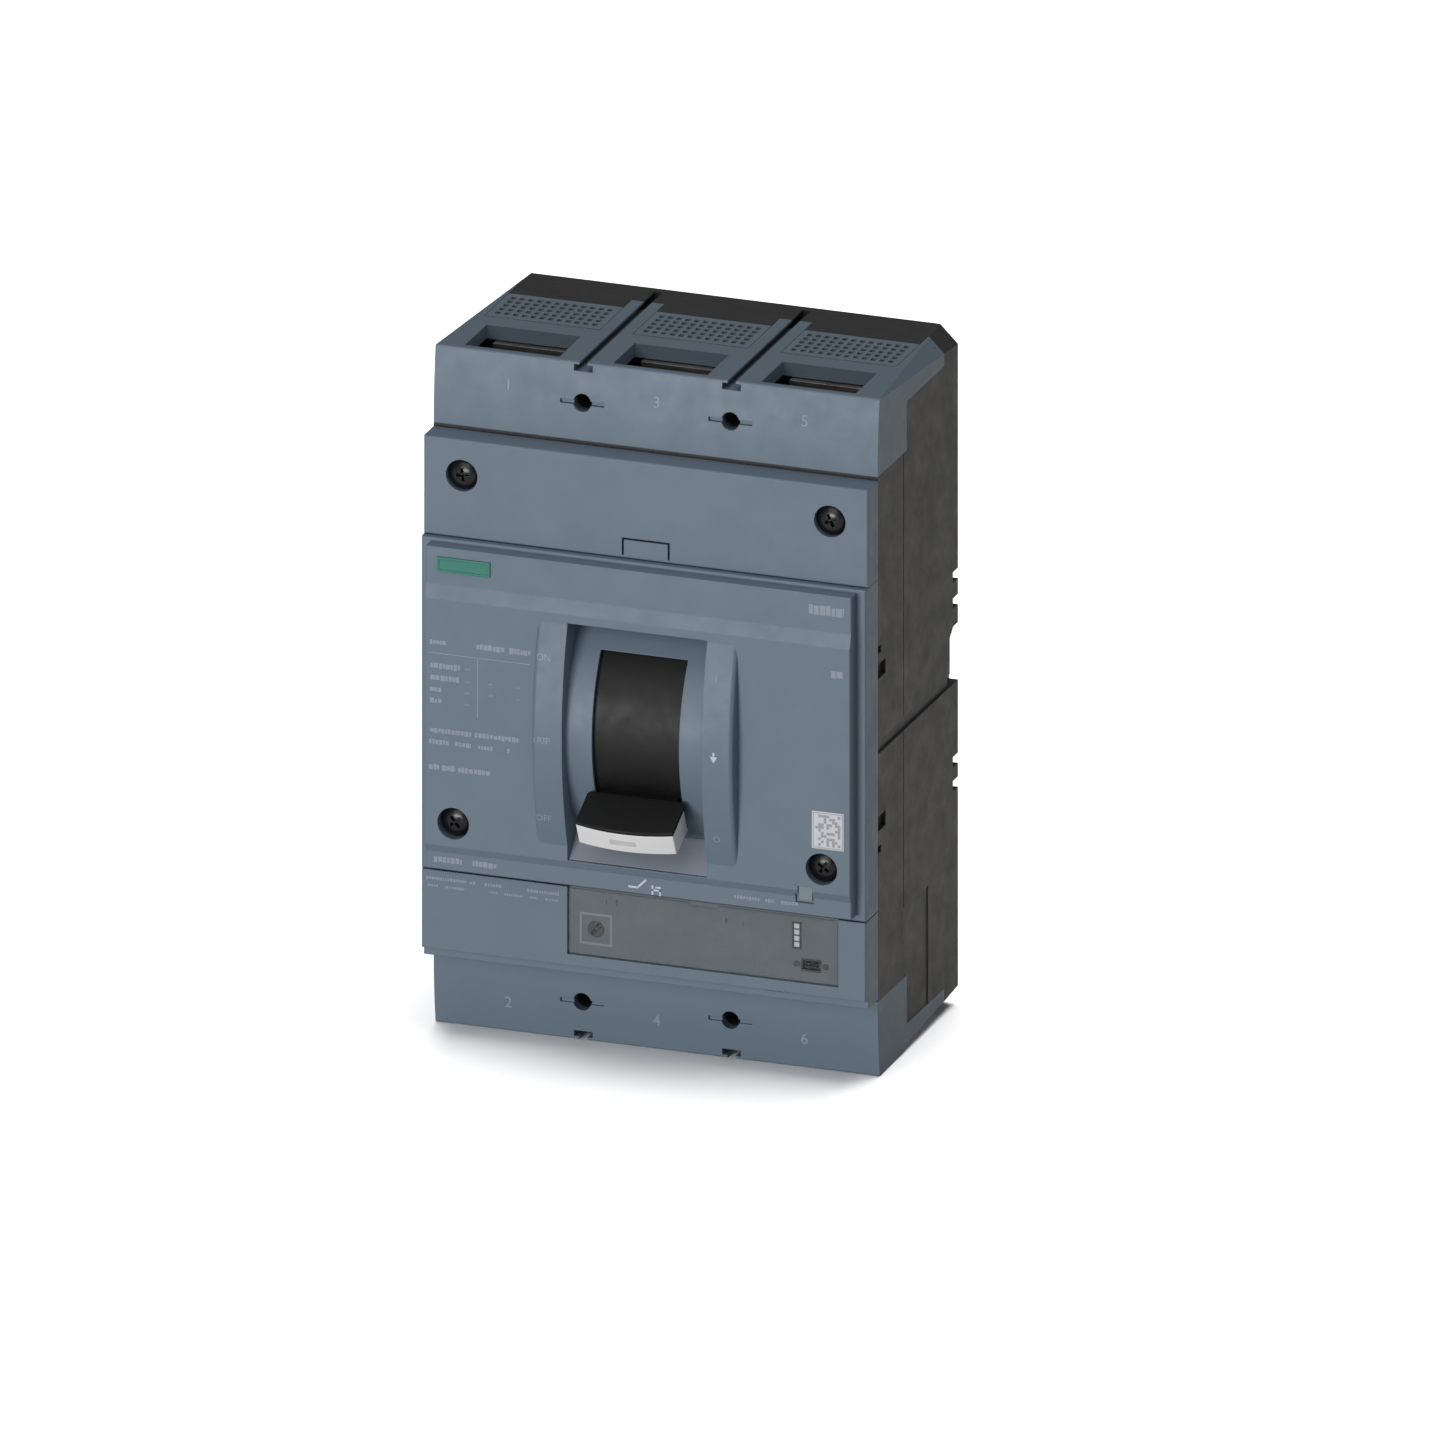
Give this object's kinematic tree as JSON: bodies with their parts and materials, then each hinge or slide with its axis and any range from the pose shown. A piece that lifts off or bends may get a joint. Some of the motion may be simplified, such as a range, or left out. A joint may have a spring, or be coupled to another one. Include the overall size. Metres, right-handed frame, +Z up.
{
  "type": "molded case circuit breaker",
  "caption": "Molded case circuit breaker with a toggle handle, cable inlets and gas outlets at both ends, and a trip unit under a hinged clear cover.",
  "frame": {"origin": "centre of the four mounting holes on the flat back face", "axes": "+X to the right seen from the front, front faces -Y, +Z up"},
  "size_m": [0.21, 0.1478, 0.32],
  "materials": {
    "housing_charcoal": "charcoal thermoset moulding, fine matt grain",
    "cover_blue_grey": "blue-grey moulding, fine matt grain with a soft sheen",
    "grille_grey": "blue-grey moulded mesh",
    "screw_black": "black phosphated steel, oiled",
    "plate_grey": "printed grey plate",
    "window_clear": "clear, slightly smoked cover",
    "knob_dark": "dark dial plastic",
    "light_white": "clear light lenses",
    "board_green": "solder mask green",
    "badge_teal": "blank teal badge",
    "label_white": "blank white label",
    "grip_black": "black handle plastic, satin",
    "cap_white": "white handle cap",
    "button_grey": "light blue-grey button",
    "steel_zinc": "zinc-plated steel",
    "spring_steel": "spring steel wire",
    "copper_plated": "copper bar, lightly tarnished",
    "contact_silver": "silver alloy tips",
    "rotor_resin": "brown thermoset",
    "arc_steel": "bare steel plate",
    "arc_fibre": "insulating fibre board",
    "coil_resin": "dark coil resin"
  },
  "bodies": {
    "case": {"accessory_cover": "cover_blue_grey", "accessory_trays": "cover_blue_grey", "arc_chute_frames": "arc_fibre", "base_housing": "housing_charcoal", "cover_screws": "screw_black", "current_transformer_1": "coil_resin", "current_transformer_2": "coil_resin", "current_transformer_3": "coil_resin", "exhaust_grilles_bottom": "grille_grey", "exhaust_grilles_top": "grille_grey", "fixed_contact_tips": "contact_silver", "front_panel": "cover_blue_grey", "info_label": "label_white", "label_badge": "badge_teal", "line_conductor_1": "copper_plated", "line_conductor_2": "copper_plated", "line_conductor_3": "copper_plated", "load_conductor_1": "copper_plated", "load_conductor_2": "copper_plated", "load_conductor_3": "copper_plated", "lower_arc_plates": "arc_steel", "main_cover": "cover_blue_grey", "mechanism_pins": "steel_zinc", "mechanism_side_plates": "steel_zinc", "mounting_posts": "housing_charcoal", "rotor_bearing_caps": "rotor_resin", "status_leds": "light_white", "terminal_bolts": "steel_zinc", "terminal_cover_bottom": "cover_blue_grey", "terminal_cover_top": "cover_blue_grey", "terminal_nuts": "steel_zinc", "test_port": "knob_dark", "trip_actuator": "coil_resin", "trip_unit_board": "board_green", "trip_unit_faceplate": "plate_grey", "trip_unit_housing": "cover_blue_grey", "upper_arc_plates": "arc_steel"},
    "handle": {"toggle_handle": "grip_black", "handle_cap": "cap_white", "handle_shutter": "grip_black", "handle_yoke": "steel_zinc", "operating_springs": "spring_steel"},
    "rotor": {"rotor_barrel_1": "rotor_resin", "rotor_barrel_2": "rotor_resin", "rotor_barrel_3": "rotor_resin", "contact_bridge_1": "copper_plated", "contact_bridge_2": "copper_plated", "contact_bridge_3": "copper_plated", "moving_contact_tips": "contact_silver", "rotor_drive_rods": "steel_zinc", "crank_pin": "steel_zinc"},
    "upper_link": {"upper_links": "steel_zinc"},
    "lower_link": {"lower_links": "steel_zinc"},
    "button": {"trip_button": "button_grey"},
    "tripper": {"trip_bar": "steel_zinc"},
    "cradle": {"trip_cradle": "steel_zinc"},
    "window": {"trip_unit_window": "window_clear"},
    "dial": {"trip_unit_knob": "knob_dark"}
  },
  "joints": [
    {"name": "handle_toggle", "type": "hinge", "parent": "case", "child": "handle", "pos_m": [0, -0.0596, -0.0075], "axis": [-1, 0, 0], "range_deg": [0, 50], "deforming": ["operating_springs"]},
    {"name": "contact_turn", "type": "hinge", "parent": "case", "child": "rotor", "pos_m": [0, -0.048, 0.02], "axis": [1, 0, 0], "range_deg": [0, 35]},
    {"name": "upper_link_swing", "type": "hinge", "parent": "case", "child": "upper_link", "pos_m": [0, -0.082, 0.048], "axis": [1, 0, 0], "range_deg": [0, 27.55]},
    {"name": "lower_link_swing", "type": "hinge", "parent": "rotor", "child": "lower_link", "pos_m": [0, -0.07338, 0.03183], "axis": [-1, 0, 0], "range_deg": [0, 96.58]},
    {"name": "button_push", "type": "slide", "parent": "case", "child": "button", "axis": [0, 1, 0], "range_m": [0, 0.002], "stiffness_N_per_m": 600, "springref_m": -0.001},
    {"name": "trip_bar_turn", "type": "hinge", "parent": "case", "child": "tripper", "pos_m": [0, -0.094, -0.074], "axis": [-1, 0, 0], "range_deg": [0, 33]},
    {"name": "cradle_release", "type": "hinge", "parent": "case", "child": "cradle", "pos_m": [0, -0.068, 0.043], "axis": [-1, 0, 0], "range_deg": [0, 4]},
    {"name": "window_hinge", "type": "hinge", "parent": "case", "child": "window", "pos_m": [0.028, -0.119, -0.112], "axis": [1, 0, 0], "range_deg": [0, 90]},
    {"name": "dial_turn", "type": "hinge", "parent": "case", "child": "dial", "pos_m": [-0.0229, -0.112, -0.1005], "axis": [0, -1, 0], "range_deg": [0, 270]}
  ],
  "couplings": [
    {"joint": "contact_turn", "follows": "handle_toggle", "ratio": 0.7},
    {"joint": "upper_link_swing", "follows": "handle_toggle", "ratio": 0.5511},
    {"joint": "lower_link_swing", "follows": "handle_toggle", "ratio": 1.9316},
    {"joint": "trip_bar_turn", "follows": "button_push", "rad_per_m": 287.9}
  ]
}
